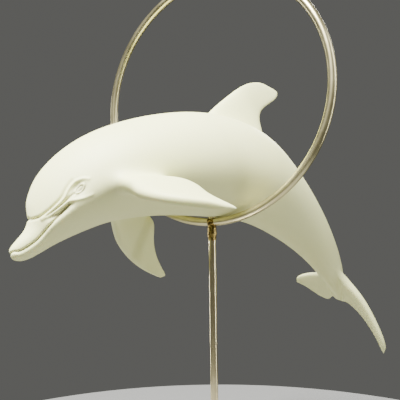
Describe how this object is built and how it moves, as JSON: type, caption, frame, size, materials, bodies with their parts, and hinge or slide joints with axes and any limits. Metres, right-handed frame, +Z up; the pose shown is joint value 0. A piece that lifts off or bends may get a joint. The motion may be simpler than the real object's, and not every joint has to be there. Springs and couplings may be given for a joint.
{
  "type": "dolphin figurine",
  "caption": "Leaping porcelain dolphin resting inside an upright wire hoop, held up by a thin rod on a low round foot.",
  "frame": {"origin": "centre of the foot's underside, on the stem's axis", "axes": "+Z up along the stem; -X the way the dolphin's head points; -Y the dolphin's left side, which the picture shows"},
  "size_m": [0.2056, 0.1255, 0.254],
  "materials": {
    "porcelain": "unglazed bisque porcelain, warm white, smooth and matte",
    "wire": "satin drawn steel wire with a faint champagne tone; the swelling at the hoop is brass braze",
    "foot": "satin turned steel, darker than the wire"
  },
  "bodies": {
    "root": {"dolphin": "porcelain", "hoop": "wire", "stem": "wire", "foot": "foot"}
  },
  "joints": []
}
